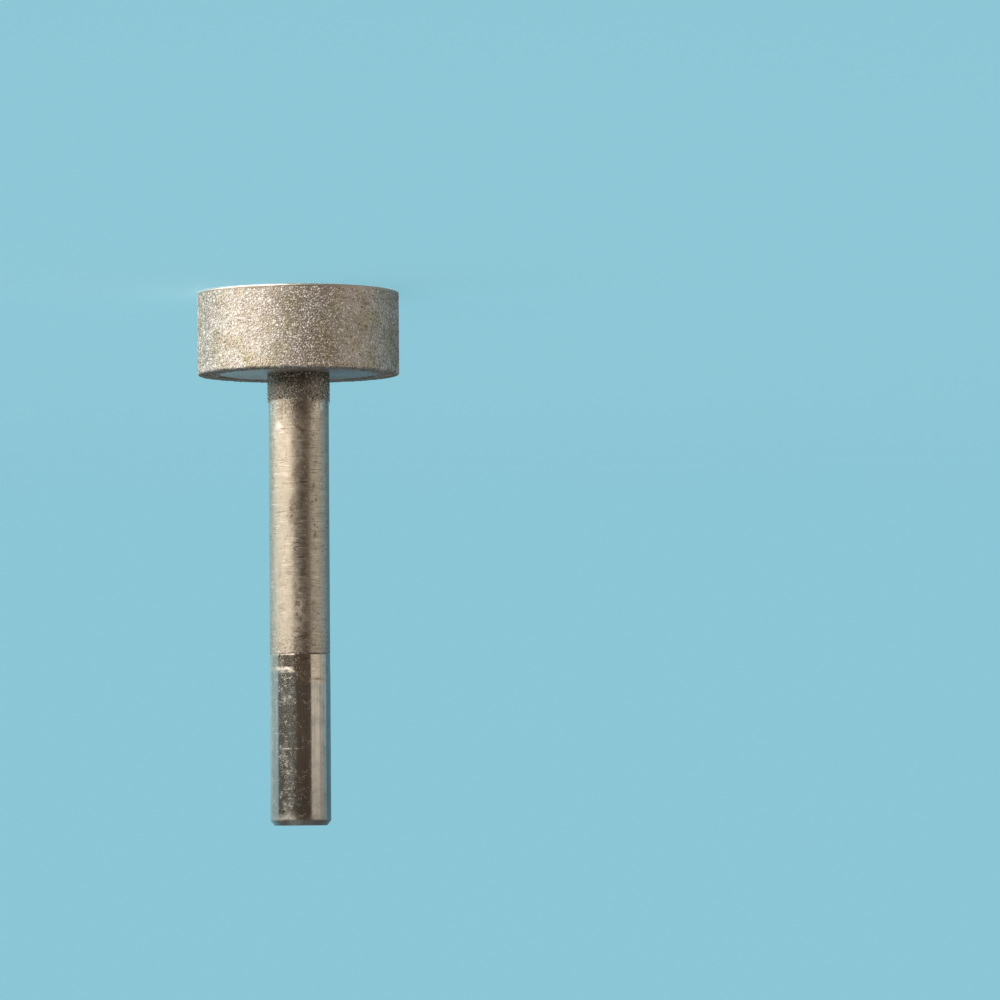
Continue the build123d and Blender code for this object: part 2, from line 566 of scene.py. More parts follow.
# %% [markdown]
# Diamond grit is pale yellow-grey. Glass would be the obvious choice, but thin nickel covers most of each
# crystal, so it looks like bright metal whose facets each mirror something else. A tint of its own for
# each crystal and faint yellow and purple clouds over many of them break up the evenness.

# %% Material: grit
GRIT_TINTS = (0.42, 0.395, 0.35, 1), (1.0, 0.98, 0.95, 1)
YELLOW_CLOUDS = (0.74, 0.70, 0.50, 1)
PURPLE_CLOUDS = (0.86, 0.78, 0.82, 1)
SHADED_GRIT = (0.40, 0.40, 0.38, 1)


def make_grit():
    made, tree, shader = new_material("diamond_grit", 0.9, 0.45)
    place = place_node(tree)
    shade = mark_node(tree, "shade")
    base = mix_colour(tree, mark_node(tree, "tint"), *GRIT_TINTS)
    yellow = ramp_node(tree, noise_node(tree, place, 480.0, 4.0, 0.6), 0.46, 0.66, 0.0, 0.75)
    base = mix_colour(tree, yellow, base, YELLOW_CLOUDS, "MULTIPLY")
    purple = ramp_node(tree, noise_node(tree, place, 360.0, 4.0, 0.6, 2.0), 0.48, 0.66, 0.0, 0.8)
    base = mix_colour(tree, purple, base, PURPLE_CLOUDS, "MULTIPLY")
    base = mix_colour(tree, shade, base, SHADED_GRIT, "MULTIPLY")
    tree.links.new(base, shader.inputs["Base Color"])
    rough = ramp_node(tree, noise_node(tree, place, 9000.0), 0.3, 0.7, 0.57, 0.70)
    tree.links.new(mix_value(tree, shade, rough, 0.95), shader.inputs["Roughness"])
    return made


diamond_grit = make_grit()
print("diamond_grit has", len(diamond_grit.node_tree.nodes), "nodes")

# %% [markdown]
# The head, the shank and the coat's bond are all round about the axis, so each starts as a profile: half of
# its section, as points of radius and height. Corners alone would be enough for the shape, but unevenness
# and marks need vertices to sit on. So straight stretches are spread with points, and round ones are arcs.


# %% Profiles
def spread(points, step):
    """The same path with points no further than step apart."""
    path = [points[0]]
    for start, end in zip(points, points[1:]):
        parts = max(1, math.ceil(math.dist(start, end) / step - 1e-6))
        for i in range(1, parts + 1):
            path.append(tuple(a + (b - a) * i / parts for a, b in zip(start, end)))
    return path


def arc(centre, radius, start_deg, end_deg, count):
    """Points on an arc in the half plane of radius and height."""
    angles = np.radians(np.linspace(start_deg, end_deg, count))
    return [(centre[0] + radius * math.cos(a), centre[1] + radius * math.sin(a)) for a in angles]


def outward_at(profile, i, closed):
    """The direction out of the skin at a profile's point, from the points before and after it."""
    last = len(profile) - 1
    before = profile[i - 1] if i > 0 or closed else profile[i]
    after = profile[(i + 1) % len(profile)] if i < last or closed else profile[i]
    dr, dz = after[0] - before[0], after[1] - before[1]
    size = math.hypot(dr, dz) or 1.0
    return dz / size, -dr / size


print("an arc of 5 points", [tuple(round(c, 2) for c in point) for point in arc((0, 0), 1.0, 0, 90, 5)])

# %% [markdown]
# A turned skin is made of rings of vertices, joined ring to ring by bands of faces. Its marks are mesh
# attributes: one number for each vertex, under a name that a material reads. Vertex colours could carry
# them too, but they hold four numbers where one will do.


# %% Bands and marks
def band(low, high):
    """Faces between two rows of vertices. A row on the axis is a single vertex."""
    around = max(len(low), len(high))
    faces = []
    for i in range(around if around > 1 else 0):
        j = (i + 1) % around
        if len(low) == 1:
            faces.append((low[0], high[j], high[i]))
        elif len(high) == 1:
            faces.append((low[i], low[j], high[0]))
        else:
            faces.append((low[i], low[j], high[j], high[i]))
    return faces


def add_piece(name, mesh, material):
    mesh.materials.append(material)
    made = bpy.data.objects.new(name, mesh)
    bpy.context.collection.objects.link(made)
    return made


def write_marks(mesh, verts, marks):
    """A mark's rule takes an angle from the front towards +X, a radius and a height in millimetres."""
    for mark, rule in marks.items():
        values = [rule(math.atan2(x, -y), math.hypot(x, y), z) for x, y, z in verts]
        mesh.attributes.new(mark, "FLOAT", "POINT").data.foreach_set("value", values)


# %% [markdown]
# One lathe turns every profile. Blender's Screw modifier spins a profile too, but it gives no say over
# single vertices. This one makes a ring of vertices for each point of the profile. A push rule lifts or
# sinks each vertex a little, as a tool or a plating bath does.


# %% The lathe
def spin(name, profile, around, material, push, marks, closed=False):
    """Turns a profile of (radius, height) into a piece. A push gives millimetres outwards and up."""
    verts, rows = [], []
    for i, (radius, height) in enumerate(profile):
        if radius < 1e-6:
            rows.append([len(verts)])
            verts.append((0.0, 0.0, height))
            continue
        out_r, out_z = outward_at(profile, i, closed)
        rows.append(list(range(len(verts), len(verts) + around)))
        for a in np.linspace(0.0, 2 * math.pi, around, endpoint=False):
            a = (a + math.pi) % (2 * math.pi) - math.pi
            outwards, up = push(a, radius, height)
            r, z = radius + out_r * outwards, height + out_z * outwards + up
            verts.append((r * math.sin(a), -r * math.cos(a), z))
    pairs = list(zip(rows, rows[1:])) + ([(rows[-1], rows[0])] if closed else [])
    faces = [face for low, high in pairs for face in band(low, high)]
    mesh = bpy.data.meshes.new(name)
    mesh.from_pydata([tuple(c * MM for c in v) for v in verts], [], faces)
    write_marks(mesh, verts, marks)
    mesh.shade_smooth()
    print(name, len(mesh.polygons), "faces, marks", list(marks))
    return add_piece(name, mesh, material)


# %% [markdown]
# Marks and pushes need a few soft shapes. A step and a bell are enough for bands and spots, and a noise at
# the vertex's own place frays their edges. Painting the marks by hand would work as well, but it would be
# lost with every change of the mesh.


# %% Soft shapes for marks
def step_up(value, start, end):
    """Goes from 0 to 1 as value goes from start to end, and works as well when end is below start."""
    return float(np.clip((value - start) / (end - start), 0.0, 1.0))


def bell(value, half_width):
    """1 in the middle, where value is 0, and almost nothing from twice the half width on."""
    return math.exp(-((value / half_width) ** 2))


def place_at(angle, radius, height):
    """The point at an angle, a radius and a height, for noises that run over the skin."""
    return Vector((math.sin(angle) * radius, -math.cos(angle) * radius, height))


def degrees_away(angle, direction):
    """How far an angle lies from a direction given in degrees, the shorter way round."""
    return (math.degrees(angle) - direction + 180) % 360 - 180


def soft_patches(rows, angle, height):
    """How strongly the patches of a list cover a place, all added up."""
    total = 0.0
    for direction, level, wide, tall, strength in rows:
        away = degrees_away(angle, direction)
        total += strength * math.exp(-((away / wide) ** 2) - ((height - level) / tall) ** 2)
    return total


print("a bell at 0, 1 and 2 half widths", [round(bell(value, 1.0), 2) for value in (0, 1, 2)])

# %% [markdown]
# The plating holder closed on the shank near its tail, and the bath crept unevenly past it, so the nickel
# ends in a wandering line. Below the scored line the nickel lies on turned steel and above it on ground
# steel. A straight edge would look like tape, so this one is a few heights round the shank with a noise on
# top, and both the bare steel and the bead follow it.

# %% Where the nickel ends
EDGE_POINTS = [
    (-180, 38.2), (-140, 37.9), (-100, 38.3), (-60, 38.8), (-44, 38.75), (-27, 38.7), (-12, 38.6), (-4, 38.3),
    (3, 37.95), (9, 37.7), (22, 37.5), (48, 37.42), (80, 37.6), (120, 38.0), (180, 38.2),
]
EDGE_DIRECTIONS, EDGE_HEIGHTS = zip(*EDGE_POINTS)
SHANK_LIMIT = TAIL_RADIUS + 0.05
NOISE_RADIUS = 3.0


def nickel_edge(angle):
    """Height at which the nickel ends, at an angle measured from the front towards +X."""
    height = float(np.interp(math.degrees(angle), EDGE_DIRECTIONS, EDGE_HEIGHTS))
    place = Vector((math.sin(angle) * 6.0, math.cos(angle) * 6.0, 0.5))
    return height + 0.1 + 0.1 * noise.noise(place) + 0.06 * noise.noise(place * 4.0)


def bare_mark(angle, radius, height):
    return step_up(height - nickel_edge(angle), -0.06, 0.06)


def ground_mark(angle, radius, height):
    """Everything above the scored line was ground before it was plated."""
    return step_up(height, SCORE_HEIGHT - 0.05, SCORE_HEIGHT + 0.05)


print("the nickel ends at", [round(nickel_edge(angle), 2) for angle in (0.0, 1.6, 3.1)], "mm")

# %% [markdown]
# Two more marks follow from how the wheel was made and used. A washer masked the back face in the bath, so
# it is clean there, and collets rubbed the end of the tail. Each is a band of heights and needs no list.

# %% Masked and worn
WORN_LENGTH = 1.3
WORN_FULLY = 0.45
END_FACE_MIDDLE = 2.0


def masked_mark(angle, radius, height):
    on_back_face = abs(height - HEAD_BACK) < 0.05
    return 1.0 if on_back_face and radius > PLATED_RADIUS + ROOT_RADIUS else 0.0


def worn_mark(angle, radius, height):
    """The end of the tail and its chamfer, but not the middle of the end face."""
    if radius < END_FACE_MIDDLE:
        return 0.0
    return step_up(height, SHANK_END - WORN_LENGTH, SHANK_END - WORN_FULLY)


print("masked: back face", masked_mark(0.0, 5.0, HEAD_BACK), "and shank", masked_mark(0.0, 3.0, 20.0))

# %% [markdown]
# Smears of dirt, dull film and bright smooth patches lie where chance put them. A random pattern would be
# less work, but the eye knows a part by a few large marks. So they are soft ovals, given in short
# lists: direction, height, half width in degrees, half height, strength. Those on the far side are fewer
# and are made up.

# %% Lists of patches
SMEARS = [
    (14, 22.0, 7, 1.2, 0.95), (11, 20.9, 4, 0.4, 0.7), (-7, 21.1, 4, 0.3, 0.8), (-33, 24.1, 3, 0.25, 0.9),
    (-30, 19.45, 3, 0.25, 0.9), (-37, 19.6, 2.5, 0.2, 0.7), (-36, 20.7, 2.5, 0.15, 0.7),
    (-36, 16.8, 3, 0.5, 0.5), (-36, 25.1, 9, 0.05, 0.8), (8, 26.3, 5, 0.5, 0.6), (20, 27.8, 6, 0.3, 0.5),
    (-9, 11.6, 9, 0.8, 0.6), (-50, 12.3, 9, 0.5, 0.6), (8, 29.6, 5, 0.8, 0.4), (-30, 31.0, 4, 0.4, 0.4),
    (-37, 38.42, 9, 0.12, 1.0), (150, 17.0, 9, 1.4, 0.7), (-110, 27.0, 8, 1.1, 0.6), (95, 22.5, 7, 0.9, 0.6),
]
DULL_PATCHES = [
    (24, 47.2, 11, 0.7, 0.5), (31, 45.9, 5, 0.25, 0.5), (26, 43.8, 8, 0.12, 0.7), (26, 42.2, 6, 0.1, 0.6),
    (35, 40.7, 10, 0.05, 0.7), (12, 45.3, 26, 0.05, 0.9), (56, 43.8, 14, 0.05, 0.9), (-7, 45.1, 3, 0.12, 1.0),
    (2, 14.0, 17, 2.3, 1.0), (-1, 31.3, 13, 2.8, 1.0), (22, 51.6, 14, 0.5, 0.35), (67, 11.35, 9, 0.35, 1.0),
    (-36, 11.45, 10, 0.45, 1.0), (15, 12.55, 40, 0.06, 0.9), (-2, 49.4, 6, 0.2, 0.7),
    (14, 49.8, 5, 0.1, 0.8), (-36, 49.0, 10, 0.05, 0.8), (7, 45.4, 4.5, 6.5, 0.34),
    (-34, 51.3, 7, 0.15, 0.6), (120, 44.0, 12, 0.6, 0.9), (-140, 48.0, 20, 0.05, 1.0),
    (170, 41.5, 9, 0.8, 0.8),
]
BRIGHT_PATCHES = [
    (62, 11.6, 13, 0.7, 1.0), (-44, 11.7, 10, 0.6, 1.0), (40, 13.3, 7, 0.25, 1.0), (-140, 11.7, 14, 0.5, 1.0),
]
print(len(SMEARS), "smears,", len(DULL_PATCHES), "dull patches and", len(BRIGHT_PATCHES), "bright ones")

# %% [markdown]
# The lists become marks. The scored line is also darkened where no bead covers it, and the bright patches
# need frayed edges, because a soft oval alone looks sprayed on. A noise that eats into them is enough for
# that.


# %% Smears, dull and bright patches
def bead_strength(angle):
    """The bead is thick on one side of the shank and hardly there on the other."""
    return 0.12 + 0.6 * bell(degrees_away(angle, 37), 30)


def smear_mark(angle, radius, height):
    """The smears, and a dark line in the scored line where no bead covers it."""
    in_score = (0.65 - 0.8 * bead_strength(angle)) * bell(height - SCORE_HEIGHT, 0.08)
    total = soft_patches(SMEARS, angle, height) + in_score
    return min(1.0, total) if radius < SHANK_LIMIT else 0.0


def dull_mark(angle, radius, height):
    return min(1.0, soft_patches(DULL_PATCHES, angle, height))


def smooth_mark(angle, radius, height):
    """Patches above the collar where the nickel came out smooth and bright, with frayed edges."""
    frayed = step_up(noise.noise(place_at(angle, NOISE_RADIUS, height) * 2.5), -0.5, 0.0)
    return min(1.0, 1.3 * soft_patches(BRIGHT_PATCHES, angle, height) * frayed)


print("the bead is", round(bead_strength(0.65) / bead_strength(-2.5), 1), "times as strong on its thick side")

# %% [markdown]
# Nickel builds up where the current crowds: in a bead along its edge, in crumbs along the scored line and
# in rough skin below that. The materials could find such places by height alone, but the bead wanders with
# the nickel's edge, so both are marks as well.

# %% Bead and crumbs
CRUMBLY_LENGTH = 3.6


def bead_mark(angle, radius, height):
    """Where the nickel stands up in a bead: at its edge, and in crumbs along the scored line."""
    place = place_at(angle, NOISE_RADIUS, height)
    crumbs = step_up(noise.noise(place * 5.0), -0.1, 0.4) * bell(height - SCORE_HEIGHT + 0.06, 0.17)
    edge = (0.5 + 0.6 * noise.noise(place * 5.0)) * bell(height - nickel_edge(angle) + 0.1, 0.2)
    return float(np.clip(bead_strength(angle) * max(1.5 * crumbs, edge), 0.0, 1.0))


def crumbly_mark(angle, radius, height):
    """Rough nickel that grows towards the scored line, and a little of it just above the collar."""
    above_collar = step_up(height, COLLAR_END + 1.7, COLLAR_END + 1.0)
    towards_line = step_up(height, SCORE_HEIGHT - CRUMBLY_LENGTH, SCORE_HEIGHT)
    past_line = step_up(height, SCORE_HEIGHT + 0.1, SCORE_HEIGHT)
    return max(towards_line * past_line, above_collar)


# %% [markdown]
# The bump in the material does the finest of the relief. But a bead catches the light on its side and shows
# in the outline, and a bump does neither, so the lathe pushes the skin itself out there.


# %% Push of the shank
def shank_push(angle, radius, height):
    """Lumps in the bead at the nickel's edge, nickel that half fills the scored line, crumbs below it."""
    on_shank = radius <= SHANK_LIMIT and HEAD_BACK + 0.2 <= height < SHANK_END - 0.6
    if not on_shank:
        return 0.0, 0.0
    place = place_at(angle, NOISE_RADIUS, height)
    lumps = max(0.0, 0.5 + 0.8 * noise.noise(place * 2.0) + 1.1 * noise.noise(place * 6.0))
    shift = 0.010 * bead_strength(angle) * lumps * bell(height - nickel_edge(angle) + 0.12, 0.19)
    if abs(height - SCORE_HEIGHT) < 0.01:
        shift += 0.05 * bead_strength(angle) + 0.012 * max(0.0, noise.noise(place * 4.0))
    under = SCORE_HEIGHT - height
    if 0.1 < under < 1.6:
        shift += 0.06 * max(0.0, noise.noise(place * 5.0) - 0.15) * math.exp(-under / 0.7)
    return shift, 0.0


print("in the scored line the skin rises", round(shank_push(0.65, PLATED_RADIUS, SCORE_HEIGHT)[0], 3), "mm")

# %% [markdown]
# The blank is turned from one bar: the head, the shank and a ground tail that a collet grips. It could be
# cut together from cylinders, but one profile from the front face to the end of the tail gives a single
# clean skin. Its points lie close only where the skin has something to show, near the scored line and the
# edge of the nickel, so each stretch is spread with a step of its own.

# %% Profile of the blank
PLAIN_START = 8.6
CRUMBS_START = 34.4
EDGE_ZONE_END = 39.1
CHAMFER_START = SHANK_END - CHAMFER_LENGTH
FACE_RADIUS = TAIL_RADIUS - CHAMFER_DEPTH
SOFTENED = 0.02

head_front = [(0, COAT_THICKNESS), (HEAD_RADIUS - EDGE_BREAK, COAT_THICKNESS)]
head_side = [(HEAD_RADIUS, COAT_THICKNESS + EDGE_BREAK), (HEAD_RADIUS, HEAD_BACK - EDGE_BREAK)]
back_face = [(HEAD_RADIUS - EDGE_BREAK, HEAD_BACK), (PLATED_RADIUS + ROOT_RADIUS, HEAD_BACK)]
root_centre = (PLATED_RADIUS + ROOT_RADIUS, HEAD_BACK + ROOT_RADIUS)
turned = [(PLATED_RADIUS, PLAIN_START), (PLATED_RADIUS, CRUMBS_START)]
crumbs_zone = [(PLATED_RADIUS, CRUMBS_START + 0.05), (PLATED_RADIUS, SCORE_HEIGHT - SCORE_HALF_WIDTH)]
above_score = [(PLATED_RADIUS, SCORE_HEIGHT + SCORE_HALF_WIDTH), (PLATED_RADIUS, PLATED_END)]
edge_zone = [(PLATED_RADIUS, PLATED_END), (TAIL_RADIUS, TAIL_START), (TAIL_RADIUS, EDGE_ZONE_END)]
tail = [(TAIL_RADIUS, EDGE_ZONE_END + 0.1), (TAIL_RADIUS, CHAMFER_START - 0.03)]

blank_profile = spread(head_front, 2.0) + spread(head_side, 2.0) + spread(back_face, 0.5)
blank_profile += arc(root_centre, ROOT_RADIUS, 270, 180, 5)[1:]
blank_profile += spread(turned, 0.6) + spread(crumbs_zone, 0.06)
blank_profile += [(PLATED_RADIUS - SCORE_DEPTH, SCORE_HEIGHT)]
blank_profile += spread(above_score, 0.1) + spread(edge_zone, 0.045)[1:] + spread(tail, 0.1)
blank_profile += [(TAIL_RADIUS - SOFTENED / 2, CHAMFER_START + SOFTENED / 2)]
blank_profile += [(FACE_RADIUS + SOFTENED, SHANK_END - SOFTENED), (FACE_RADIUS - SOFTENED, SHANK_END)]
blank_profile += [(1.2, SHANK_END), (0, SHANK_END)]
print("blank profile", len(blank_profile), "points")

# %% [markdown]
# It could be shaded flat or smooth all over, but a turned part is smooth along its skin and crisp at its
# edges, so edges past a certain angle are marked sharp.

# %% The blank
BLANK_MARKS = {
    "ground": ground_mark, "bare": bare_mark, "masked": masked_mark, "crumbly": crumbly_mark,
    "worn": worn_mark, "smear": smear_mark, "bead": bead_mark, "dull": dull_mark, "smooth": smooth_mark,
}
blank = spin("turned_blank", blank_profile, 256, shank_metal, shank_push, BLANK_MARKS)
blank.data.set_sharp_from_angle(angle=math.radians(24))
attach(blank, "root")
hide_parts("steel_blank")

# %% [markdown]
# The coat covers the head's front face, its rim and a ring on its back. The crystals' tips reach the full
# size of the wheel, and the nickel bond stays below them. Crystals alone would leave gaps to look through,
# so the bond is a closed skin of its own. Both follow one path at different depths, so they stay together
# when a size changes.

# %% Path of the coat
BOND_DEPTH = 0.05
RING_SLOPE = 0.08


def coat_path(depth, step, arc_points):
    """The coat's outside at a depth under the tips: front face, corner, rim, corner and ring."""
    corner = CORNER_RADIUS - depth
    low, high = CORNER_RADIUS, WHEEL_BACK - CORNER_RADIUS
    middle = WHEEL_RADIUS - CORNER_RADIUS
    ring_end = RING_INNER_RADIUS + RING_SLOPE + depth
    front = spread([(0, depth), (middle, depth)], step)
    front_corner = arc((middle, low), corner + (0.8 * depth if depth else 0.0), 270, 360, arc_points)[1:]
    rim = spread([(middle + corner, low), (middle + corner, high)], step)[1:]
    back_corner = arc((middle, high), corner, 0, 90, arc_points)[1:]
    ring = spread([(middle, high + corner), (ring_end, high + corner)], step)[1:]
    return front, front_corner, rim, back_corner, ring


outside = [point for stretch in coat_path(BOND_DEPTH, 0.16, 5) for point in stretch]
seat = [(RING_INNER_RADIUS, HEAD_BACK)] + back_face[:1] + head_side[::-1] + head_front[::-1]
print("bond profile", len(outside), "points outside and", len(seat), "where it sits on the head")

# %% [markdown]
# The bond swells and sinks a little, as nickel grows unevenly. It wears first on the front corner, where
# it touches the work, and is pale and bright there, most on the side towards the lamps, which is a painted
# highlight. On the back ring it is darkened with painted shade. Wear could be painted by
# hand, but a mark with a noise in it breaks up the bright line just as well.


# %% The bond
def swell(angle, radius, height):
    """How far the bond swells or sinks at a place, in millimetres."""
    return 0.012 * noise.noise(place_at(angle, radius, height) * 4.0)


def coat_push(angle, radius, height):
    """Only the outside is uneven. The seat stays on the head."""
    inner = radius <= HEAD_RADIUS + 1e-6 and COAT_THICKNESS - 1e-6 <= height <= HEAD_BACK + 1e-6
    return (0.0 if inner else swell(angle, radius, height)), 0.0


def worn_corner_and_highlight(angle, radius, height):
    if radius < HEAD_RADIUS - 0.04 or height > CORNER_RADIUS - 0.02:
        return 0.0
    # Stronger on the side towards the lamps: that part is a painted highlight, the rest is wear.
    one_side = 0.4 + 0.6 * math.exp(-(((math.degrees(angle) - 30) / 60) ** 2))
    broken = 0.85 + 0.9 * noise.noise(place_at(angle, radius, height) * 1.4)
    return one_side * float(np.clip(broken, 0.3, 1.0))


# Painted shade: the back ring is darkened, as it lies away from the lamps.
def ring_painted_shade(angle, radius, height):
    return 0.15 if height > WHEEL_BACK - CORNER_RADIUS and radius < WHEEL_RADIUS - 0.05 else 0.0


BOND_MARKS = {"worn": worn_corner_and_highlight, "stain_and_shade": ring_painted_shade}
bond = spin("nickel_bond", outside + seat, 360, bond_nickel, coat_push, BOND_MARKS)
bond.data.set_sharp_from_angle(angle=math.radians(40))
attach(bond, "root")

# %% [markdown]
# Diamond grit is sorted by sieve, so its crystals are all about one size, but no two have the same shape.
# Cubes or balls would show at once, and thousands of different shapes would be a waste. Twelve will do:
# each is the convex hull of eight points on a small ball, moved in or out a little.

# %% Crystal shapes
CRYSTAL_CORNERS = 8


def far_apart(spots, count):
    """Picks spots one by one, each time the one furthest from those already picked."""
    chosen = [spots[0]]
    while len(chosen) < count:
        gaps = [min(np.linalg.norm(s - c) for c in chosen) for s in spots]
        chosen.append(spots[int(np.argmax(gaps))])
    return chosen


def make_crystal(rng):
    """One convex crystal of about unit size, as arrays of corners and triangles."""
    spots = rng.normal(size=(40, 3))
    spots /= np.linalg.norm(spots, axis=1)[:, None]
    hull = bmesh.new()
    for spot in far_apart(spots, CRYSTAL_CORNERS):
        hull.verts.new(spot * (0.5 * rng.uniform(0.86, 1.14)) * (1.0, 1.0, rng.uniform(0.75, 1.0)))
    bmesh.ops.convex_hull(hull, input=hull.verts)
    bmesh.ops.triangulate(hull, faces=hull.faces)
    bmesh.ops.delete(hull, geom=[v for v in hull.verts if not v.link_faces], context="VERTS")
    hull.verts.index_update()
    corners = np.array([v.co[:] for v in hull.verts])
    triangles = np.array([[v.index for v in f.verts] for f in hull.faces])
    hull.free()
    return corners, triangles


shape_dice = np.random.default_rng(7)
crystals = [make_crystal(shape_dice) for _ in range(12)]
print("crystal shapes", [len(triangles) for _, triangles in crystals], "triangles")

# %% [markdown]
# In the bath the crystals settle side by side wherever the head isn't masked. Blender can scatter copies
# on a surface by itself, but plain random places leave bare spots and piles. Here they stand in rows that
# follow the coat's path and run round the axis, and each is shaken out of line by less than half a
# spacing, so that the coat is full and still looks random.

# %% Places for the crystals
ROW_SPACING = 0.9
SHAKE_ROUND = 0.38
SHAKE_ALONG = 0.42
LOOK_AROUND = 0.02


def rows_of_places(path, spacing, rng):
    """Places on a path of (radius, height) that is spun round the axis, and the way out at each."""
    path = np.array(path)
    steps = np.linalg.norm(np.diff(path, axis=0), axis=1)
    length = np.concatenate([[0.0], np.cumsum(steps)])
    end = length[-1]

    def along(distance):
        held = np.clip(distance, 0, end)
        return np.interp(held, length, path[:, 0]), np.interp(held, length, path[:, 1])

    places, outwards = [], []
    rows = max(1, round(end / (spacing * ROW_SPACING)))
    for row in range(rows):
        middle = (row + 0.5) / rows * end
        count = max(1, round(2 * math.pi * along(middle)[0] / spacing))
        shaken = np.arange(count) + rng.uniform() + rng.uniform(-SHAKE_ROUND, SHAKE_ROUND, count)
        angles = shaken * 2 * math.pi / count
        at = np.clip(middle + rng.uniform(-SHAKE_ALONG, SHAKE_ALONG, count) * spacing, 0, end)
        r, z = along(at)
        ahead_r, ahead_z = along(at + LOOK_AROUND)
        behind_r, behind_z = along(at - LOOK_AROUND)
        dr, dz = ahead_r - behind_r, ahead_z - behind_z
        out_r, out_z = dz / np.hypot(dr, dz), -dr / np.hypot(dr, dz)
        sin, cos = np.sin(angles), -np.cos(angles)
        places.append(np.stack([r * sin, r * cos, z], 1))
        outwards.append(np.stack([out_r * sin, out_r * cos, out_z], 1))
    return np.concatenate(places), np.concatenate(outwards)


print("one row of places", len(rows_of_places([(5.0, 0.0), (5.0, 0.2)], 0.21, np.random.default_rng(1))[0]))

# %% [markdown]
# A crystal may lie any way round. Three random angles would favour some directions over others, so the
# turns are made from random quaternions, which favour none.


# %% Random turns
def random_turns(rng, count):
    """Random rotations, from random quaternions."""
    q = rng.normal(size=(count, 4))
    q /= np.linalg.norm(q, axis=1)[:, None]
    w, x, y, z = q.T
    return np.stack([
        np.stack([1 - 2 * (y * y + z * z), 2 * (x * y - w * z), 2 * (x * z + w * y)], -1),
        np.stack([2 * (x * y + w * z), 1 - 2 * (x * x + z * z), 2 * (y * z - w * x)], -1),
        np.stack([2 * (x * z - w * y), 2 * (y * z + w * x), 1 - 2 * (x * x + y * y)], -1),
    ], 1)


print("three random turns of +Z", random_turns(np.random.default_rng(1), 3)[:, :, 2].round(2).tolist())

# %% [markdown]
# Only the top of a crystal stands out of the nickel. Whole crystals could be sunk into the bond, but most of
# each would be hidden. So each is turned, pressed to about a quarter of its height, and set down until its
# tip touches the coat's path or lies a little below it.

# %% Setting one crystal
PRESSED = 0.24


def set_crystal(kind, size, turn, place, outward, sunk):
    """Corners of one crystal, turned, pressed and set down. None goes past the front face at height 0."""
    corners = crystals[kind][0] @ turn.T * size
    height = corners @ outward
    corners -= np.outer(height * (1 - PRESSED), outward)
    corners = corners + place - outward * (float(np.max(height)) * PRESSED + sunk)
    corners[:, 2] = np.maximum(corners[:, 2], 0.0)
    return corners


print("a crystal has", len(crystals[0][0]), "corners and is pressed to", PRESSED, "of its height")

# %% [markdown]
# All crystals of a stretch become one mesh, since thousands of objects would be slow to handle. Size, turn,
# kind and depth are random within limits, as sieved grit is. A tint is written on the corners of each
# crystal, paler and darker in clusters.

# %% Scattering the grit
DEEPEST = 0.045


def scatter(name, path, spacing, size, seed, keep=None, shade=0.0, darkness=0.7):
    """Covers a path with crystals. A keep rule may leave some out."""
    rng = np.random.default_rng(seed)
    places, outwards = rows_of_places(path, spacing, rng)
    if keep is not None:
        chosen = keep(places, rng)
        places, outwards = places[chosen], outwards[chosen]
    total = len(places)
    sizes = size * rng.uniform(0.7, 1.25, total)
    turns = random_turns(rng, total)
    kinds = rng.integers(0, len(crystals), total)
    sunk = DEEPEST * rng.uniform(0.0, 1.0, total) ** 1.5
    clusters = np.array([noise.noise(Vector(place * 1.6)) for place in places])
    tints = np.clip(rng.uniform(0.0, 1.0, total) ** darkness + 0.35 * clusters, 0.0, 1.0)

    each = zip(kinds, sizes, turns, places, outwards, sunk)
    grains = [set_crystal(*settings) for settings in each]
    counts = [len(grain) for grain in grains]
    starts = np.cumsum([0] + counts[:-1])
    verts = np.concatenate(grains)
    faces = np.concatenate([crystals[kind][1] + start for kind, start in zip(kinds, starts)])
    mesh = bpy.data.meshes.new(name)
    mesh.from_pydata((verts * MM).tolist(), [], faces.tolist())
    for mark, values in (("tint", np.repeat(tints, counts)), ("shade", np.full(len(verts), shade))):
        mesh.attributes.new(mark, "FLOAT", "POINT").data.foreach_set("value", values)
    made = add_piece(name, mesh, diamond_grit)
    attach(made, "root")
    print(name, total, "crystals", len(faces), "triangles")
    return made


# %% [markdown]
# The head is coated all round in one bath. It could be one piece here too, but three are easier to look
# at and to shade: the front face with the start of its corner, the rim, and the ring on the back. Between
# the first two a strip of the corner is left to the worn bond. The ring's crystals are made rougher, and
# darker with painted shade, since the back of the head lies away from the lamps.

# %% Grit on the head
GRAIN = 0.25
SPACING = 0.21
WORN_STRIP = 0.14

front, front_corner, rim, back_corner, ring = coat_path(0.0, 0.2, 9)
front_path = front + front_corner[:2]
rim_path = [(WHEEL_RADIUS, CORNER_RADIUS + WORN_STRIP)] + rim[2:] + back_corner[:6]
ring_path = back_corner[4:] + ring
front_grit = scatter("front_face_grit", front_path, SPACING, GRAIN, 11)
rim_grit = scatter("rim_grit", rim_path, SPACING, GRAIN, 12)
ring_grit = scatter("back_ring_grit", ring_path, SPACING, GRAIN, 13, shade=0.4)
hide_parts("diamond_layer")
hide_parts("diamond_layer")
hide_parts("diamond_layer")
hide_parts("diamond_layer")

# %% [markdown]
# Stray grit makes a collar at the foot of the shank, where it caught above the washer. A plain sleeve would
# have the right size but too clean an end. So the sleeve's bond slopes to nothing along a ragged line. It
# is lightly stained all over, darkened near the head with painted shade, and clean at its end.


# %% The collar's bond
def ragged(angle):
    """How far past its full length the collar ends at an angle. Below 0 it falls short."""
    place = place_at(angle, NOISE_RADIUS, 7.0)
    return -0.1 + 0.25 * noise.noise(place * 0.8) + 0.12 * noise.noise(place * 2.6)


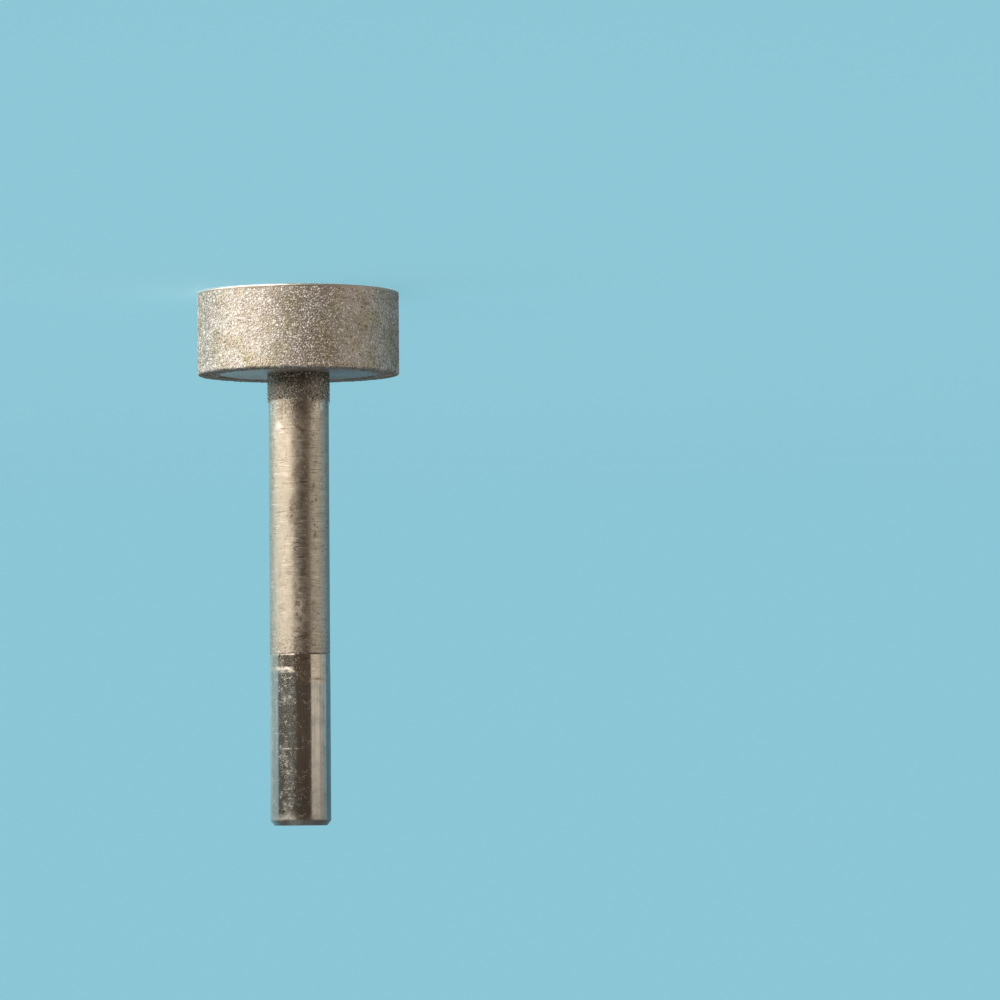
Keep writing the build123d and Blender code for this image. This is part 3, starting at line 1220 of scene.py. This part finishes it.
def collar_push(angle, radius, height):
    up = ragged(angle) * step_up(height, COLLAR_END - 1.0, COLLAR_END)
    on_shank = radius < PLATED_RADIUS + 0.005
    return (0.0 if on_shank else swell(angle, radius, height)), up


# Stain over the whole collar, and painted shade that darkens it towards the head.
def collar_stain_and_head_shade(angle, radius, height):
    return max(0.3, step_up(height, COLLAR_END - 0.2, HEAD_BACK + 0.4))


def collar_clean(angle, radius, height):
    return step_up(height, COLLAR_END - 0.35, COLLAR_END - 0.05)


COLLAR_BOND = COLLAR_RADIUS - 0.065
INSIDE_SHANK = PLATED_RADIUS - 0.02
collar_side = [(COLLAR_BOND + 0.005, HEAD_BACK + 0.02), (COLLAR_BOND, COLLAR_END - 1.3)]
collar_slope = [(COLLAR_BOND, COLLAR_END - 1.3), (PLATED_RADIUS - 0.006, COLLAR_END)]
collar_profile = [(PLATED_RADIUS + 0.12, HEAD_BACK)]
collar_profile += spread(collar_side, 0.15) + spread(collar_slope, 0.1)[1:]
collar_profile += [(INSIDE_SHANK, COLLAR_END - 0.1), (INSIDE_SHANK, HEAD_BACK)]
COLLAR_MARKS = {"stain_and_shade": collar_stain_and_head_shade, "clean": collar_clean}
collar_bond = spin("collar_bond", collar_profile, 160, bond_nickel, collar_push, COLLAR_MARKS, closed=True)
collar_bond.data.set_sharp_from_angle(angle=math.radians(40))
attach(collar_bond, "root")
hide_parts("grit_collar")

# %% [markdown]
# The collar's crystals are a little smaller and darker than those on the head. They could stop at the same
# ragged line as the bond, but on the real part they thin out. So a rule keeps most of them low down and
# fewer and fewer towards the end.


# %% The collar's grit
def thin_out(places, rng):
    """Keeps most crystals low on the collar and none more than 0.3 mm past its ragged end."""
    angles = np.arctan2(places[:, 0], -places[:, 1])
    ends = COLLAR_END + np.array([ragged(a) for a in angles])
    left = (ends + 0.3 - places[:, 2]) / 0.6
    return rng.uniform(size=len(places)) < np.clip(left, 0.0, 0.85)


COLLAR_GRAIN = 0.22
collar_path = spread([(COLLAR_RADIUS, HEAD_BACK), (COLLAR_RADIUS, COLLAR_END + 0.1)], 0.2)
collar_grit = scatter("collar_grit", collar_path, SPACING, COLLAR_GRAIN, 14, thin_out, 0.04, 1.7)
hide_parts("grit_collar")

# %% [markdown]
# Polished metal shows its surroundings more than itself, so these decide half the look. A picture of a
# real room would do, but a few plain colours are easier to steer. The camera sees one pale blue. The metal
# sees a brown dusk in front, the pale backdrop behind, brighter towards +X, and grey overhead. Y and Z are
# the world's own here, so overhead is where the shank points.

# %% The surroundings
BACKDROP = (0.26, 0.565, 0.675, 1.0)
BACKDROP_SHADE = (0.135, 0.265, 0.34, 1.0)
WINDOW_HAZE = (0.50, 0.68, 0.72, 1.0)
ROOM = (0.115, 0.085, 0.066, 1.0)
ROOM_SHADE = (0.10, 0.10, 0.09, 1.0)
OVERHEAD = (0.12, 0.13, 0.13, 1.0)


def make_world():
    world = bpy.data.worlds.new("studio")
    bpy.context.scene.world = world
    world.use_nodes = True
    tree = world.node_tree
    x, y, z = split_node(tree, tree.nodes.new("ShaderNodeTexCoord").outputs["Generated"])
    backdrop = mix_colour(tree, ramp_node(tree, x, -0.15, 0.45), BACKDROP_SHADE, BACKDROP)
    backdrop = mix_colour(tree, ramp_node(tree, x, 0.6, 0.9), backdrop, WINDOW_HAZE)
    room = mix_colour(tree, ramp_node(tree, x, 0.1, 0.33), ROOM, ROOM_SHADE)
    softness = ramp_node(tree, x, -0.3, 0.3, 0.4, 0.12)
    surroundings = mix_colour(tree, ramp_node(tree, y, -0.05, softness), room, backdrop)
    surroundings = mix_colour(tree, ramp_node(tree, z, 0.25, 0.7), surroundings, OVERHEAD)
    seen = tree.nodes.new("ShaderNodeLightPath").outputs["Is Camera Ray"]
    tree.links.new(mix_colour(tree, seen, surroundings, BACKDROP), tree.nodes["Background"].inputs["Color"])
    world.cycles.sampling_method = "NONE"
    print("world", world.name, "has", len(tree.nodes), "nodes")


make_world()

# %% [markdown]
# The wheel stands on a floor. A plain disc would end in a hard edge and would lie as a pale sheet in the
# metal's reflections. So this one is painted in the backdrop's own colour, fades out towards its edge, can
# be seen from above only, and stays out of mirrors and shadows.

# %% The floor
FLOOR_RADIUS = 0.6
FLOOR_CORNERS = 96
FLOOR_PAINT = (0.5, 0.6, 0.65, 1.0)
FLOOR_GLOW = (0.165, 0.43, 0.52, 1.0)
FADE_START, FADE_END = 0.1, 0.4


def make_floor_paint():
    made, tree, shader = new_material("floor_paint", 0.0, 0.9)
    shader.inputs["Base Color"].default_value = FLOOR_PAINT
    shader.inputs["Specular IOR Level"].default_value = 0.0
    shader.inputs["Emission Color"].default_value = FLOOR_GLOW
    shader.inputs["Emission Strength"].default_value = 1.0
    distance = tree.nodes.new("ShaderNodeVectorMath")
    distance.operation = "LENGTH"
    tree.links.new(place_node(tree), distance.inputs[0])
    fade = ramp_node(tree, distance.outputs["Value"], FADE_START, FADE_END)
    below = tree.nodes.new("ShaderNodeNewGeometry").outputs["Backfacing"]
    blend = tree.nodes.new("ShaderNodeMixShader")
    tree.links.new(larger(tree, fade, below), blend.inputs[0])
    tree.links.new(shader.outputs[0], blend.inputs[1])
    tree.links.new(tree.nodes.new("ShaderNodeBsdfTransparent").outputs[0], blend.inputs[2])
    tree.links.new(blend.outputs[0], tree.nodes["Material Output"].inputs["Surface"])
    return made


floor_mesh = bpy.data.meshes.new("floor")
floor_angles = np.linspace(0, 2 * math.pi, FLOOR_CORNERS, endpoint=False)
floor_corners = [(FLOOR_RADIUS * math.cos(a), FLOOR_RADIUS * math.sin(a), 0.0) for a in floor_angles]
floor_mesh.from_pydata(floor_corners, [], [tuple(range(FLOOR_CORNERS))])
floor = add_piece("floor", floor_mesh, make_floor_paint())
floor.visible_shadow = False
floor.visible_glossy = False
floor.visible_diffuse = False
print("floor", 2 * FLOOR_RADIUS, "m across")

# %% [markdown]
# Every lamp is a rectangle, since metal shows the lamp's own shape as a highlight and a point would leave a
# hard dot. Places are given as on a globe round the wheel, which is easier to think in than X, Y and Z. The
# power follows from the size, so a lamp can grow without its highlight getting brighter.

# %% Helpers for lamps
WHEEL_MIDDLE = Vector((0, 0, 0.02))


def around(azimuth, height, distance):
    """A place seen from the wheel's middle, in degrees. The azimuth runs from the front towards +X."""
    a, h = math.radians(azimuth), math.radians(height)
    side = Vector((math.sin(a) * math.cos(h), -math.cos(a) * math.cos(h), math.sin(h)))
    return WHEEL_MIDDLE + side * distance


def add_lamp(name, azimuth, height, distance, width, tall, radiance, colour):
    """A rectangle of light that faces the wheel, as bright as its radiance at any size."""
    data = bpy.data.lights.new(name, "AREA")
    data.shape = "RECTANGLE"
    data.size, data.size_y = width, tall
    data.energy = radiance * math.pi * width * tall
    data.color = colour
    lamp = bpy.data.objects.new(name, data)
    lamp.location = around(azimuth, height, distance)
    lamp.rotation_euler = (lamp.location - WHEEL_MIDDLE).to_track_quat("Z", "Y").to_euler()
    lamp.visible_camera = False
    bpy.context.collection.objects.link(lamp)


print("a lamp at azimuth 90 would stand at", [round(c, 2) for c in around(90, 0, 0.8)], "m")

# %% [markdown]
# The light in the photograph seems to come from one wide window at the side. A single lamp that wide would
# be as bright at its edge as in its middle, while the reflections on the shank fall off softly. So the
# window is four tall panes side by side, each with its own brightness, and smaller lamps fill in: a low
# one for the wheel's rim, warm and pale ones on the other side, and weak ones behind and above.

# %% Lamps
WINDOW_PANES = (37.0, 3.55), (63.0, 3.5), (87.0, 3.1), (110.0, 0.95)
for pane, (azimuth, radiance) in enumerate(WINDOW_PANES):
    add_lamp(f"window_{pane}", azimuth, -24.0, 0.8, 0.36, 0.50, radiance, (1.0, 0.905, 0.80))
add_lamp("low", 43.0, -52.0, 0.8, 0.45, 0.35, 5.2, (1.0, 0.95, 0.86))
add_lamp("warm_side", -63.0, -8.0, 0.7, 0.49, 0.5, 0.66, (1.0, 0.92, 0.80))
add_lamp("warm_edge", -91.0, -10.0, 0.7, 0.22, 0.5, 0.43, (1.0, 0.95, 0.84))
add_lamp("pale_edge", -109.0, -10.0, 0.7, 0.22, 0.5, 0.25, (0.92, 1.0, 0.95))
add_lamp("bounce", 150.0, -3.0, 0.8, 0.55, 0.4, 0.24, (1.0, 0.62, 0.33))
add_lamp("overhead", 30.0, 52.0, 0.8, 0.45, 0.4, 0.5, (1.0, 0.97, 0.92))
add_lamp("rear", 180.0, -32.0, 0.8, 0.6, 0.4, 1.0, (1.0, 0.96, 0.9))
add_lamp("sky", 180.0, 70.0, 0.8, 0.6, 0.5, 0.4, (0.93, 0.98, 1.0))
print(len(bpy.data.lights), "lamps")
